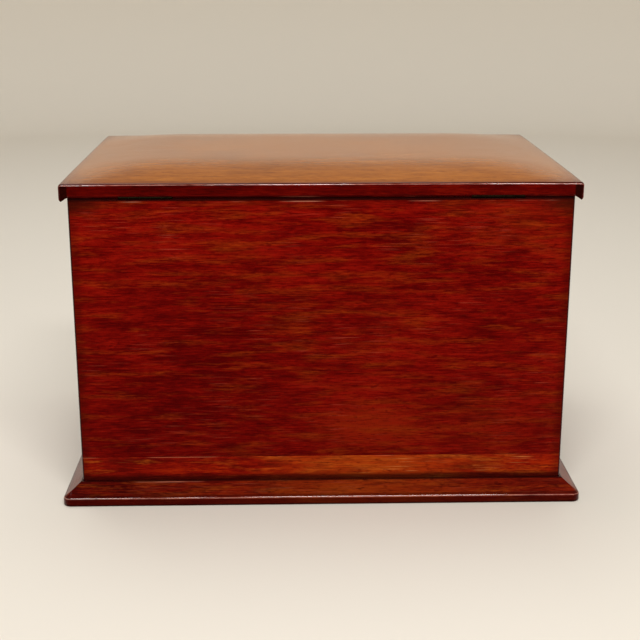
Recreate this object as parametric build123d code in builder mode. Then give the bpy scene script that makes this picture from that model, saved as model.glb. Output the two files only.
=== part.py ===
from build123d import *
import os
from math import radians, sin, tan

# A mahogany stationery box in millimetres: a mitred carcase on a bevelled plinth, a cushion-topped lid on
# two hinges set inside the back edge, a box lock in the front and a stepped paper rack inside.
# The origin is under the middle of the box. +Z is up, +Y is the front, with the keyhole, and -Y is the back,
# where the lid turns.

# Carcase
BODY_WIDTH = 380.0
BODY_DEPTH = 264.0
WALL = 9.5
ARRIS = 1.75              # rounding of the upright corners
STRIP_TOP = 35.5          # joint between the two boards of the back
JOINT_ARRIS = 0.4         # rounding of the edges that meet at that joint
BOTTOM_THICKNESS = 9.0
BOTTOM_RECESS = 1.0       # the bottom board clears the table by this
REBATE = 5.0              # how far the bottom board is let into the walls

# Plinth
PLINTH_HEIGHT = 16.2
PLINTH_REACH = 14.4
PLINTH_LEDGE = 1.2        # level part of its top, beside the wall
PLINTH_SLOPE_END = 6.4    # height at which the slope would meet the upright nose
NOSE_RADIUS = 2.6
FOOT_RADIUS = 1.0
LEDGE_RADIUS = 0.5
CORNER_RADIUS = 6.5       # in plan

# Lid
JOINT_Z = 242.5           # height of the hinge line, half-way between the wall tops and the lid
LID_GAP = 0.3             # between the wall tops and the lid
LID_EDGE_TOP = 253.0
LID_OVERHANG = 6.5        # width of the mouldings on its sides and front
CROWN = 8.6
CROWN_MARGIN = 80.0       # width of the curved part around the level middle
SURFACE_TOLERANCE = 0.1   # the top's edges are level within this
MOULDING_TIP = 239.9
MOULDING_TIP_INSET = 2.0  # of the rounded tip from the moulding's outer face
MOULDING_TIP_RADIUS = 3.4
MOULDING_COVE_DROP = 1.0  # of the cove's middle below the lid
MOULDING_CLEARANCE = 0.3  # between the hanging part of the mouldings and the walls
LID_SIDE_ARRIS = 2.4
LID_BACK_ARRIS = 2.2

# Hinges
HINGE_X = 132.0
HINGE_LENGTH = 40.0
HINGE_INSET = 1.35        # depth of the pin's axis behind the back face
KNUCKLE_RADIUS = 1.2
PIN_RADIUS = 0.6
PIN_CLEARANCE = 0.06      # in the lid's knuckles, which turn on it
KNUCKLES = 5
KNUCKLE_GAP = 0.3
LEAF_THICKNESS = 0.9
LEAF_WIDTH = 7.6
LEAF_GAP = 0.3            # from the joint plane to each closed leaf
KNUCKLE_ROOM = 0.25       # around the knuckles, in the wood and the other leaf
BEVEL_ANGLE = 48.5        # of each bevelled edge from the joint plane
BEVEL_RELIEF = 0.05       # distance of the bevels from the axis
BEVEL_ARRIS = 0.4

# Lock
LOCK_WIDTH = 60.0
LOCK_HEIGHT = 30.0
LOCK_PLATE = 1.2
LOCK_DEPTH = 7.0
LOCK_SCREW_INSET = 4.0    # from the ends of the lock and of the link plate
LOCK_SCREW_DROPS = (9.0, 25.5)
CASE_WIDTH = 44.0
CASE_HEIGHT = 28.0
CASE_WALL = 1.0
KEYHOLE_DROP = 20.5       # from the wall top to the middle of the keyhole
KEYHOLE_RADIUS = 2.5
KEYHOLE_SLOT = 2.2
KEYHOLE_TAIL = 6.5
ESCUTCHEON_RIM = 1.2
KEY_PIN_RADIUS = 1.1
LOOP_X = 10.0             # each side of the middle
LOOP_THICKNESS = 1.6
LOOP_WIDTH = 3.6
LOOP_DROP = 8.6
LOOP_ROOM = 0.5           # around the loops in the slots of the lock
LINK_PLATE_LENGTH = 46.0
LINK_PLATE_WIDTH = 8.0
BOLT_HEIGHT = 4.5
BOLT_THICKNESS = 2.2
BOLT_DROP = 16.4          # from the wall top to the bottom of its bar
TONGUE_LENGTH = 5.0
TONGUE_HEIGHT = 2.2
TONGUE_THICKNESS = 1.2
TONGUE_RISE = 3.3         # from the bottom of the loops to the tongues
UPRIGHT = 2.0
BOLT_TRAVEL = 4.0
TALON_HEIGHT = 1.4        # of the notch that the key works in
STUD_RADIUS = 0.8
STUD_CLEARANCE = 0.08
GUIDE_STUD_X = (-12.0, 5.0)
SPRING_STUD_X = -5.0
SPRING_STUD_RISE = 4.6    # above the bolt's bar
SPRING_HALF = 5.5         # half the length of the bowed spring
SPRING_THICKNESS = 0.5

# Paper rack
CHEEK = 6.0
GROOVE = 2.5
PARTITION = 5.0
PARTITION_PITCH = 38.0
FIRST_PARTITION_Y = -84.0
PARTITIONS = 4
RACK_BACK_HEIGHT = 215.0
RACK_SHOULDER = 22.0      # level part of the cheeks at the back
RACK_FRONT_HEIGHT = 128.0
RACK_FRONT_Y = 42.0
PARTITION_BELOW = 7.0     # the partitions stop this far below the cheeks' slope
SCOOP_WIDTH = 120.0
SCOOP_DEPTH = 13.0
SCOOP_FILLET = 12.0
RACK_ROUNDING = 1.5

# Screws: radius of the head, radius of the shank, length
HINGE_SCREW = (1.8, 0.9, 8.0)
LOCK_SCREW = (1.9, 0.9, 6.0)
BOTTOM_SCREW = (2.4, 1.2, 19.0)
BOTTOM_SCREW_X = (50.0, 150.0)    # along the front and back, each side of the middle
BOTTOM_SCREW_Y = 60.0             # along the sides, each side of the middle
SLOT_WIDTH = 0.5
SLOT_DEPTH = 0.5

# Worked out from the above
HALF_WIDTH = BODY_WIDTH / 2
HALF_DEPTH = BODY_DEPTH / 2
INNER_HALF_WIDTH = HALF_WIDTH - WALL
INNER_HALF_DEPTH = HALF_DEPTH - WALL
WALL_TOP = JOINT_Z - LID_GAP / 2
LID_UNDERSIDE = JOINT_Z + LID_GAP / 2
FLOOR_Z = BOTTOM_RECESS + BOTTOM_THICKNESS
LID_HALF_WIDTH = HALF_WIDTH + LID_OVERHANG
LID_FRONT = HALF_DEPTH + LID_OVERHANG
LID_DEPTH = LID_FRONT + HALF_DEPTH
LID_MIDDLE_Y = (LID_FRONT - HALF_DEPTH) / 2
PIN_Y = -HALF_DEPTH + HINGE_INSET
ROOM_ABOVE = LID_EDGE_TOP + 2 * CROWN

# For each side of the box: which way it faces, how far it is from the middle and half its length
OUTWARD = {"back": (0, -1, 0), "front": (0, 1, 0), "left": (-1, 0, 0), "right": (1, 0, 0)}
REACH = {"back": HALF_DEPTH, "front": HALF_DEPTH, "left": HALF_WIDTH, "right": HALF_WIDTH}
HALF_LENGTH = {"back": HALF_WIDTH, "front": HALF_WIDTH, "left": HALF_DEPTH, "right": HALF_DEPTH}


def section_plane(side, offset=0.0):
    """Upright plane across a side of the box: x outward, y up, offset along the side."""
    outward = Vector(*OUTWARD[side])
    return Plane(origin=(0, 0, 0), x_dir=outward, z_dir=outward.cross(Vector(0, 0, 1))).offset(offset)


def mitre_prism(side):
    """Everything that is nearer to one side of the box than to its neighbours, at and beyond the walls."""
    outward = Vector(*OUTWARD[side])
    beyond = 2 * PLINTH_REACH
    inside = 2 * WALL
    reach = REACH[side]
    half = HALF_LENGTH[side]
    with BuildPart() as prism:
        with BuildSketch(Plane(origin=(0, 0, -1), x_dir=outward.cross(Vector(0, 0, 1)), z_dir=(0, 0, 1))):
            Polygon(
                (-half - beyond, reach + beyond),
                (-half + inside, reach - inside),
                (half - inside, reach - inside),
                (half + beyond, reach + beyond),
                align=None,
            )
        extrude(amount=ROOM_ABOVE)
    return prism.part


def screw_set(places, sizes, slotted=True):
    """Countersunk screws whose flat heads are at the places and whose points are along -Z there."""
    head_radius, shank_radius, length = sizes
    head_height = head_radius - shank_radius
    top = (Align.CENTER, Align.CENTER, Align.MAX)
    with BuildPart() as screws:
        with Locations(*places):
            Cone(shank_radius, head_radius, head_height, align=top)
            Cylinder(shank_radius, length - shank_radius, align=top)
            with Locations((0, 0, shank_radius - length)):
                Cone(0, shank_radius, shank_radius, align=top)
            if slotted:
                Box(2 * head_radius, SLOT_WIDTH, SLOT_DEPTH, align=top, mode=Mode.SUBTRACT)
    return screws.part


def downward(x, y, z):
    """A place for a screw that is driven downward."""
    return Location((x, y, z))


def upward(x, y, z):
    """A place for a screw that is driven upward."""
    return Location((x, y, z), (180, 0, 0))


def inward(x, y, z):
    """A place for a screw that is driven towards the front, from inside the box."""
    return Location((x, y, z), (90, 0, 0))


def box_between(low, high):
    """A plain block from its lowest corner to its highest."""
    size = Vector(*high) - Vector(*low)
    with BuildPart() as block:
        with Locations(low):
            Box(size.X, size.Y, size.Z, align=Align.MIN)
    return block.part


def save(part, name):
    """Labels a finished piece and writes it."""
    part.label = name
    export_step(part, f"parts/{name}.step")


os.makedirs("parts", exist_ok=True)


# The groove between the lid and the back: two bevels that meet when the lid stands open


def bevel_groove():
    """The wedge of wood that both back edges lack, along the whole width of the body."""
    angle = radians(BEVEL_ANGLE)
    apex = BEVEL_RELIEF / sin(angle)
    outer = 2 * HINGE_INSET
    spread = (outer + apex) * tan(angle)
    with BuildPart() as groove:
        with BuildSketch(Plane.YZ.offset(-HALF_WIDTH - MOULDING_CLEARANCE / 2)):
            Polygon(
                (PIN_Y + apex, JOINT_Z),
                (PIN_Y - outer, JOINT_Z + spread),
                (PIN_Y - outer, JOINT_Z - spread),
                align=None,
            )
        extrude(amount=BODY_WIDTH + MOULDING_CLEARANCE)
    return groove.part


def hinge_room(middle_x):
    """The wood cut away for one hinge: its two leaves and the barrel of its knuckles."""
    start = middle_x - HINGE_LENGTH / 2
    leaves = 2 * (LEAF_GAP + LEAF_THICKNESS)
    with BuildPart() as room:
        with BuildSketch(Plane.YZ.offset(start)):
            with Locations((PIN_Y, JOINT_Z)):
                Rectangle(LEAF_WIDTH, leaves, align=(Align.MIN, Align.CENTER))
        extrude(amount=HINGE_LENGTH)
        with BuildSketch(Plane.YZ.offset(start - KNUCKLE_GAP)):
            with Locations((PIN_Y, JOINT_Z)):
                Circle(KNUCKLE_RADIUS + KNUCKLE_ROOM)
        extrude(amount=HINGE_LENGTH + 2 * KNUCKLE_GAP)
    return room.part


def hinge_screw_places(face_z, place):
    """Three screws in a row in a leaf of each hinge."""
    row_y = PIN_Y + LEAF_WIDTH / 2 + KNUCKLE_RADIUS / 2
    spacing = HINGE_LENGTH / 3
    return [
        place(middle + step * spacing, row_y, face_z)
        for middle in (-HINGE_X, HINGE_X)
        for step in (-1, 0, 1)
    ]


body_leaf_face = JOINT_Z - LEAF_GAP
lid_leaf_face = JOINT_Z + LEAF_GAP
body_hinge_screws = hinge_screw_places(body_leaf_face, downward)
lid_hinge_screws = hinge_screw_places(lid_leaf_face, upward)

bottom_screw_inset = WALL - REBATE / 2
long_row_y = HALF_DEPTH - bottom_screw_inset
short_row_x = HALF_WIDTH - bottom_screw_inset
bottom_screws = [
    upward(hand * x, row * long_row_y, BOTTOM_RECESS)
    for x in BOTTOM_SCREW_X
    for hand in (-1, 1)
    for row in (-1, 1)
]
bottom_screws += [
    upward(hand * short_row_x, row * BOTTOM_SCREW_Y, BOTTOM_RECESS)
    for hand in (-1, 1)
    for row in (-1, 1)
]
bottom_screw_holes = screw_set(bottom_screws, BOTTOM_SCREW, slotted=False)


# Carcase: four mitred walls, the back in two boards, and the bottom board let into them


def bottom_blank():
    """The bottom board, and what the walls lack for it down to the table."""
    with BuildPart() as blank:
        with BuildSketch():
            Rectangle(BODY_WIDTH - 2 * (WALL - REBATE), BODY_DEPTH - 2 * (WALL - REBATE))
        extrude(amount=FLOOR_Z)
    return blank.part


def wall_blank(side, bottom, top):
    """One mitred wall between two heights, with half of the rounded corner at each end."""
    with BuildPart() as wall:
        with BuildSketch(Plane.XY.offset(bottom)):
            RectangleRounded(BODY_WIDTH, BODY_DEPTH, ARRIS)
            Rectangle(2 * INNER_HALF_WIDTH, 2 * INNER_HALF_DEPTH, mode=Mode.SUBTRACT)
        extrude(amount=top - bottom)
        add(mitre_prism(side), mode=Mode.INTERSECT)
        add(bottom_blank(), mode=Mode.SUBTRACT)
        add(bottom_screw_holes, mode=Mode.SUBTRACT)
    return wall.part


with BuildPart() as back_board:
    add(wall_blank("back", STRIP_TOP, WALL_TOP))
    add(bevel_groove(), mode=Mode.SUBTRACT)
    outer_edges = edges().filter_by(Axis.X).group_by(Axis.Y)[0]
    fillet(outer_edges.sort_by(Axis.Z)[-1], BEVEL_ARRIS)
    fillet(edges().filter_by(Axis.X).group_by(Axis.Y)[0].sort_by(Axis.Z)[0], JOINT_ARRIS)
    add(hinge_room(-HINGE_X), mode=Mode.SUBTRACT)
    add(hinge_room(HINGE_X), mode=Mode.SUBTRACT)
    add(screw_set(body_hinge_screws, HINGE_SCREW, slotted=False), mode=Mode.SUBTRACT)
save(back_board.part, "back_board")

with BuildPart() as back_lower_strip:
    add(wall_blank("back", 0, STRIP_TOP))
    fillet(edges().filter_by(Axis.X).group_by(Axis.Y)[0].sort_by(Axis.Z)[-1], JOINT_ARRIS)
save(back_lower_strip.part, "back_lower_strip")

for side in ("left", "right"):
    with BuildPart() as side_board:
        add(wall_blank(side, 0, WALL_TOP))
        add(bevel_groove(), mode=Mode.SUBTRACT)
    save(side_board.part, f"{side}_side")

with BuildPart() as bottom_board:
    add(bottom_blank())
    with BuildSketch():
        Rectangle(BODY_WIDTH, BODY_DEPTH)
    extrude(amount=BOTTOM_RECESS, mode=Mode.SUBTRACT)
    add(bottom_screw_holes, mode=Mode.SUBTRACT)
save(bottom_board.part, "bottom_board")

save(screw_set(bottom_screws, BOTTOM_SCREW), "bottom_screws")


# Plinth: four mitred strips, with the outer corners rounded in plan


def plinth_section(reach):
    """The strip's section, outward from a wall face at this distance: ledge, slope, nose and foot."""
    nose = reach + PLINTH_REACH
    with BuildSketch() as section:
        with BuildLine():
            Polyline(
                (reach, 0),
                (nose, 0),
                (nose, PLINTH_SLOPE_END),
                (reach + PLINTH_LEDGE, PLINTH_HEIGHT),
                (reach, PLINTH_HEIGHT),
                close=True,
            )
        make_face()
        fillet(vertices().sort_by_distance((nose, 0))[0], FOOT_RADIUS)
        fillet(vertices().sort_by_distance((nose, PLINTH_SLOPE_END))[0], NOSE_RADIUS)
        fillet(vertices().sort_by_distance((reach + PLINTH_LEDGE, PLINTH_HEIGHT))[0], LEDGE_RADIUS)
    return section.sketch


def plinth_strip(side):
    """One strip: straight to the centres of the rounded corners, then turned through half of each."""
    reach = REACH[side]
    to_centre = PLINTH_REACH - CORNER_RADIUS
    length = HALF_LENGTH[side] + to_centre
    outward = Vector(*OUTWARD[side])
    along = outward.cross(Vector(0, 0, 1))
    with BuildPart() as strip:
        with BuildSketch(section_plane(side)):
            add(plinth_section(reach))
        extrude(amount=length, both=True)
        add(mitre_prism(side), mode=Mode.INTERSECT)
        for end in (-1, 1):
            centre = outward * (reach + to_centre) + along * (end * length)
            with BuildSketch(section_plane(side, end * length)):
                add(plinth_section(reach))
                with Locations((reach + to_centre, 0)):
                    Rectangle(CORNER_RADIUS, PLINTH_HEIGHT, align=Align.MIN, mode=Mode.INTERSECT)
            revolve(axis=Axis(centre, (0, 0, -end)), revolution_arc=45)
    return strip.part


for side in OUTWARD:
    save(plinth_strip(side), f"plinth_{side}")


# Front wall and its lock

KEYHOLE_Z = WALL_TOP - KEYHOLE_DROP
LOCK_INNER_Y = INNER_HALF_DEPTH
LOCK_OUTER_Y = INNER_HALF_DEPTH + LOCK_DEPTH
CASE_INNER_Y = INNER_HALF_DEPTH + LOCK_PLATE
CASE_TOP = WALL_TOP - LOCK_PLATE
LOCK_MIDDLE_Y = (CASE_INNER_Y + LOCK_OUTER_Y - CASE_WALL) / 2
BOLT_BOTTOM = WALL_TOP - BOLT_DROP
BOLT_TOP = BOLT_BOTTOM + BOLT_HEIGHT
LOOP_BOTTOM = LID_UNDERSIDE - LOOP_DROP
TONGUE_Z = LOOP_BOTTOM + TONGUE_RISE
LOCK_SCREWS = [
    inward(hand * (LOCK_WIDTH / 2 - LOCK_SCREW_INSET), LOCK_INNER_Y, WALL_TOP - drop)
    for hand in (-1, 1)
    for drop in LOCK_SCREW_DROPS
]


def keyhole_prism(rim, start_y, end_y):
    """A keyhole, widened all round by rim, between two depths of the front wall."""
    tail = (2 * KEYHOLE_RADIUS + KEYHOLE_TAIL) / 2
    with BuildPart() as prism:
        with BuildSketch(Plane(origin=(0, start_y, KEYHOLE_Z), x_dir=(-1, 0, 0), z_dir=(0, 1, 0))):
            Circle(KEYHOLE_RADIUS + rim)
            Rectangle(KEYHOLE_SLOT + 2 * rim, tail + rim, align=(Align.CENTER, Align.MAX))
        extrude(amount=end_y - start_y)
    return prism.part


lock_plate_blank = box_between(
    (-LOCK_WIDTH / 2, LOCK_INNER_Y, WALL_TOP - LOCK_HEIGHT),
    (LOCK_WIDTH / 2, LOCK_INNER_Y + LOCK_PLATE, WALL_TOP),
)
lock_top_blank = box_between(
    (-LOCK_WIDTH / 2, LOCK_INNER_Y, CASE_TOP),
    (LOCK_WIDTH / 2, LOCK_OUTER_Y, WALL_TOP),
)
case_blank = box_between(
    (-CASE_WIDTH / 2, CASE_INNER_Y, CASE_TOP - CASE_HEIGHT),
    (CASE_WIDTH / 2, LOCK_OUTER_Y, CASE_TOP),
)

with BuildPart() as front_board:
    add(wall_blank("front", 0, WALL_TOP))
    add(lock_plate_blank, mode=Mode.SUBTRACT)
    add(lock_top_blank, mode=Mode.SUBTRACT)
    add(case_blank, mode=Mode.SUBTRACT)
    add(keyhole_prism(ESCUTCHEON_RIM, LOCK_OUTER_Y, HALF_DEPTH), mode=Mode.SUBTRACT)
    add(screw_set(LOCK_SCREWS, LOCK_SCREW, slotted=False), mode=Mode.SUBTRACT)
save(front_board.part, "front_board")

with BuildPart() as lock_escutcheon:
    add(keyhole_prism(ESCUTCHEON_RIM, LOCK_OUTER_Y, HALF_DEPTH))
    add(keyhole_prism(0, LOCK_OUTER_Y, HALF_DEPTH), mode=Mode.SUBTRACT)
save(lock_escutcheon.part, "lock_escutcheon")

with BuildPart() as lock_case:
    add(case_blank)
    inside = CASE_WIDTH / 2 - CASE_WALL
    case_floor = CASE_TOP - CASE_HEIGHT + CASE_WALL
    hollow = box_between((-inside, CASE_INNER_Y, case_floor), (inside, LOCK_OUTER_Y - CASE_WALL, CASE_TOP))
    add(hollow, mode=Mode.SUBTRACT)
    add(keyhole_prism(0, CASE_INNER_Y, LOCK_OUTER_Y), mode=Mode.SUBTRACT)
save(lock_case.part, "lock_case")

guide_studs = [(stud_x, BOLT_BOTTOM + BOLT_HEIGHT / 2) for stud_x in GUIDE_STUD_X]
spring_stud = (SPRING_STUD_X, BOLT_TOP + SPRING_STUD_RISE)
key_pin = (0, KEYHOLE_Z)

with BuildPart() as lock_plate:
    add(lock_plate_blank)
    add(lock_top_blank)
    with BuildSketch(Plane.XY.offset(CASE_TOP)):
        with Locations((-LOOP_X, LOCK_MIDDLE_Y), (LOOP_X, LOCK_MIDDLE_Y)):
            Rectangle(LOOP_THICKNESS + 2 * LOOP_ROOM, LOOP_WIDTH + 2 * LOOP_ROOM)
    extrude(amount=LOCK_PLATE, mode=Mode.SUBTRACT)
    add(screw_set(LOCK_SCREWS, LOCK_SCREW, slotted=False), mode=Mode.SUBTRACT)
    with BuildSketch(Plane(origin=(0, CASE_INNER_Y, 0), x_dir=(1, 0, 0), z_dir=(0, -1, 0))):
        with Locations(*guide_studs, spring_stud):
            Circle(STUD_RADIUS)
        with Locations(key_pin):
            Circle(KEY_PIN_RADIUS)
    extrude(amount=-(LOCK_OUTER_Y - CASE_WALL - CASE_INNER_Y))
save(lock_plate.part, "lock_plate")

save(screw_set(LOCK_SCREWS, LOCK_SCREW), "lock_screws")

with BuildPart() as lock_bolt:
    first_upright = -LOOP_X - LOOP_THICKNESS - TONGUE_LENGTH - UPRIGHT
    second_upright = first_upright + 2 * LOOP_X
    bar = box_between(
        (first_upright, LOCK_MIDDLE_Y - BOLT_THICKNESS / 2, BOLT_BOTTOM),
        (second_upright + 2 * UPRIGHT, LOCK_MIDDLE_Y + BOLT_THICKNESS / 2, BOLT_TOP),
    )
    add(bar)
    for start in (first_upright, second_upright):
        upright = box_between(
            (start, LOCK_MIDDLE_Y - BOLT_THICKNESS / 2, BOLT_BOTTOM),
            (start + UPRIGHT, LOCK_MIDDLE_Y + BOLT_THICKNESS / 2, TONGUE_Z + TONGUE_HEIGHT),
        )
        tongue = box_between(
            (start + UPRIGHT, LOCK_MIDDLE_Y - TONGUE_THICKNESS / 2, TONGUE_Z),
            (start + UPRIGHT + TONGUE_LENGTH, LOCK_MIDDLE_Y + TONGUE_THICKNESS / 2, TONGUE_Z + TONGUE_HEIGHT),
        )
        add(upright)
        add(tongue)
    with BuildSketch(Plane(origin=(0, LOCK_MIDDLE_Y, 0), x_dir=(1, 0, 0), z_dir=(0, -1, 0))):
        for stud_x, stud_z in guide_studs:
            with Locations((stud_x - BOLT_TRAVEL / 2, stud_z)):
                SlotCenterToCenter(BOLT_TRAVEL, 2 * (STUD_RADIUS + STUD_CLEARANCE))
        with Locations((-BOLT_TRAVEL / 2, BOLT_BOTTOM)):
            Rectangle(BOLT_TRAVEL, TALON_HEIGHT, align=(Align.CENTER, Align.MIN))
    extrude(amount=BOLT_THICKNESS, both=True, mode=Mode.SUBTRACT)
save(lock_bolt.part, "lock_bolt")

with BuildPart() as lock_spring:
    spring_top = spring_stud[1] - STUD_RADIUS - SPRING_THICKNESS
    spring_foot = BOLT_TOP + SPRING_THICKNESS
    with BuildSketch(Plane(origin=(0, LOCK_MIDDLE_Y, 0), x_dir=(1, 0, 0), z_dir=(0, -1, 0))):
        with BuildLine():
            ThreePointArc(
                (spring_stud[0] - SPRING_HALF, spring_foot),
                (spring_stud[0], spring_top),
                (spring_stud[0] + SPRING_HALF, spring_foot),
            )
        trace(line_width=SPRING_THICKNESS)
    extrude(amount=TONGUE_THICKNESS / 2, both=True)
save(lock_spring.part, "lock_spring")


# Hinges: two butts with the barrel inside the groove


def hinge_leaf(middle_x, side):
    """One leaf: side is -1 for the carcase's, with the outer knuckles, and 1 for the lid's."""
    start = middle_x - HINGE_LENGTH / 2
    pitch = HINGE_LENGTH / KNUCKLES
    thickness_align = Align.MIN if side > 0 else Align.MAX
    plate_start = KNUCKLE_RADIUS + KNUCKLE_ROOM
    bore = PIN_RADIUS + PIN_CLEARANCE if side > 0 else PIN_RADIUS
    knuckles = range(1, KNUCKLES, 2) if side > 0 else range(0, KNUCKLES, 2)
    with BuildPart() as leaf:
        with BuildSketch(Plane.YZ.offset(start)):
            with Locations((PIN_Y + plate_start, JOINT_Z + side * LEAF_GAP)):
                Rectangle(LEAF_WIDTH - plate_start, LEAF_THICKNESS, align=(Align.MIN, thickness_align))
        extrude(amount=HINGE_LENGTH)
        for index in knuckles:
            with BuildSketch(Plane.YZ.offset(start + index * pitch + KNUCKLE_GAP / 2)):
                with Locations((PIN_Y, JOINT_Z)):
                    Circle(KNUCKLE_RADIUS)
                with Locations((PIN_Y, JOINT_Z + side * LEAF_GAP)):
                    Rectangle(LEAF_WIDTH / 2, LEAF_THICKNESS, align=(Align.MIN, thickness_align))
                with Locations((PIN_Y, JOINT_Z)):
                    Circle(bore, mode=Mode.SUBTRACT)
            extrude(amount=pitch - KNUCKLE_GAP)
        screws = lid_hinge_screws if side > 0 else body_hinge_screws
        add(screw_set(screws, HINGE_SCREW, slotted=False), mode=Mode.SUBTRACT)
    return leaf.part


for name, middle_x in (("left", -HINGE_X), ("right", HINGE_X)):
    save(hinge_leaf(middle_x, -1), f"hinge_{name}_body_leaf")
    save(hinge_leaf(middle_x, 1), f"hinge_{name}_lid_leaf")
    with BuildPart() as hinge_pin:
        with BuildSketch(Plane.YZ.offset(middle_x - HINGE_LENGTH / 2 + KNUCKLE_GAP / 2)):
            with Locations((PIN_Y, JOINT_Z)):
                Circle(PIN_RADIUS)
        extrude(amount=HINGE_LENGTH - KNUCKLE_GAP)
    save(hinge_pin.part, f"hinge_{name}_pin")

save(screw_set(body_hinge_screws, HINGE_SCREW), "hinge_body_screws")
save(screw_set(lid_hinge_screws, HINGE_SCREW), "hinge_lid_screws")


# Lid: a cushion-topped panel with mitred mouldings on its sides and front


def rise(distance):
    """Height of the cushion, from 0 at an edge of the lid to 1 over its level middle."""
    return 1 - max(0.0, 1 - distance / CROWN_MARGIN) ** 2


def cushion_surface():
    """The lid's top: level along all four edges, curved in the margins and level in the middle."""
    beyond = CROWN_MARGIN / 12
    steps_x = 72
    steps_y = 52
    width = 2 * (LID_HALF_WIDTH + beyond)
    depth = LID_DEPTH + 2 * beyond
    rows = []
    for i in range(steps_y + 1):
        y = LID_FRONT + beyond - depth * i / steps_y
        row = []
        for j in range(steps_x + 1):
            x = -width / 2 + width * j / steps_x
            across = rise(LID_HALF_WIDTH - abs(x))
            along = rise(min(y + HALF_DEPTH, LID_FRONT - y))
            row.append((x, y, LID_EDGE_TOP + CROWN * across * along))
        rows.append(row)
    return Face.make_surface_from_array_of_points(rows)


def lid_blank():
    """The lid's outline down to the tips of its mouldings, under the cushion surface."""
    with BuildPart() as blank:
        with BuildSketch(Plane.XY.offset(MOULDING_TIP)):
            with Locations((0, LID_MIDDLE_Y)):
                Rectangle(2 * LID_HALF_WIDTH, LID_DEPTH)
        extrude(amount=ROOM_ABOVE - MOULDING_TIP)
        split(bisect_by=cushion_surface(), keep=Keep.BOTTOM)
        level = SURFACE_TOLERANCE
        top = edges().filter_by_position(Axis.Z, LID_EDGE_TOP - level, LID_EDGE_TOP + level)
        back = top.sort_by(Axis.Y)[0]
        fillet([edge for edge in top if edge != back], LID_SIDE_ARRIS)
        fillet(edges().group_by(Axis.Y)[0].group_by(Axis.Z)[-1], LID_BACK_ARRIS)
    return blank.part


def moulding_section(reach):
    """The moulding's section: upright outside, a rounded tip that hangs below the joint, a cove inside."""
    outer = reach + LID_OVERHANG
    inner = reach + MOULDING_CLEARANCE
    tip = (outer - MOULDING_TIP_INSET, MOULDING_TIP)
    turn = (outer, LID_UNDERSIDE - 2 * MOULDING_CLEARANCE)
    cove_middle = (reach + MOULDING_TIP_INSET, LID_UNDERSIDE - MOULDING_COVE_DROP)
    with BuildSketch() as section:
        with BuildLine():
            Polyline(
                (inner, LID_UNDERSIDE),
                (reach, LID_UNDERSIDE),
                (reach, ROOM_ABOVE),
                (outer, ROOM_ABOVE),
                turn,
            )
            RadiusArc(turn, tip, MOULDING_TIP_RADIUS)
            ThreePointArc(tip, cove_middle, (inner, LID_UNDERSIDE))
        make_face()
    return section.sketch


def lid_moulding(side):
    """One moulding under the lid's outline, mitred where it meets a neighbour at the front."""
    with BuildPart() as moulding:
        with BuildSketch(section_plane(side)):
            add(moulding_section(REACH[side]))
        extrude(amount=HALF_LENGTH[side] + LID_OVERHANG, both=True)
        if side == "front":
            add(mitre_prism(side), mode=Mode.INTERSECT)
        else:
            add(mitre_prism("front"), mode=Mode.SUBTRACT)
        add(lid_blank(), mode=Mode.INTERSECT)
    return moulding.part


LINK_SCREWS = [
    upward(hand * (LINK_PLATE_LENGTH / 2 - LOCK_SCREW_INSET), LOCK_MIDDLE_Y, LID_UNDERSIDE)
    for hand in (-1, 1)
]
link_plate_blank = box_between(
    (-LINK_PLATE_LENGTH / 2, LOCK_MIDDLE_Y - LINK_PLATE_WIDTH / 2, LID_UNDERSIDE),
    (LINK_PLATE_LENGTH / 2, LOCK_MIDDLE_Y + LINK_PLATE_WIDTH / 2, LID_UNDERSIDE + LOCK_PLATE),
)

with BuildPart() as lid_panel:
    with BuildSketch(Plane.XY.offset(LID_UNDERSIDE)):
        Rectangle(BODY_WIDTH, BODY_DEPTH)
    extrude(amount=ROOM_ABOVE - LID_UNDERSIDE)
    add(lid_blank(), mode=Mode.INTERSECT)
    add(bevel_groove(), mode=Mode.SUBTRACT)
    fillet(edges().filter_by(Axis.X).group_by(Axis.Y)[0].sort_by(Axis.Z)[0], BEVEL_ARRIS)
    add(hinge_room(-HINGE_X), mode=Mode.SUBTRACT)
    add(hinge_room(HINGE_X), mode=Mode.SUBTRACT)
    add(screw_set(lid_hinge_screws, HINGE_SCREW, slotted=False), mode=Mode.SUBTRACT)
    add(link_plate_blank, mode=Mode.SUBTRACT)
    add(screw_set(LINK_SCREWS, HINGE_SCREW, slotted=False), mode=Mode.SUBTRACT)
save(lid_panel.part, "lid_panel")

for side in ("front", "left", "right"):
    save(lid_moulding(side), f"lid_moulding_{side}")

with BuildPart() as lock_link_plate:
    add(link_plate_blank)
    with BuildSketch(Plane.XY.offset(LOOP_BOTTOM)):
        with Locations((-LOOP_X, LOCK_MIDDLE_Y), (LOOP_X, LOCK_MIDDLE_Y)):
            Rectangle(LOOP_THICKNESS, LOOP_WIDTH)
    extrude(amount=LOOP_DROP)
    with BuildSketch(Plane.YZ.offset(-LINK_PLATE_LENGTH / 2)):
        with Locations((LOCK_MIDDLE_Y, TONGUE_Z + TONGUE_HEIGHT / 2)):
            Rectangle(TONGUE_THICKNESS + 2 * LOOP_ROOM, TONGUE_HEIGHT + 2 * LOOP_ROOM)
    extrude(amount=LINK_PLATE_LENGTH, mode=Mode.SUBTRACT)
    add(screw_set(LINK_SCREWS, HINGE_SCREW, slotted=False), mode=Mode.SUBTRACT)
save(lock_link_plate.part, "lock_link_plate")

save(screw_set(LINK_SCREWS, HINGE_SCREW), "link_plate_screws")


# Paper rack: two sloping cheeks with grooves, and partitions that step down to the front

shoulder_y = -INNER_HALF_DEPTH + RACK_SHOULDER
slope = (RACK_BACK_HEIGHT - RACK_FRONT_HEIGHT) / (RACK_FRONT_Y - shoulder_y)
partition_middles = [FIRST_PARTITION_Y + PARTITION_PITCH * index for index in range(PARTITIONS)]


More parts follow.
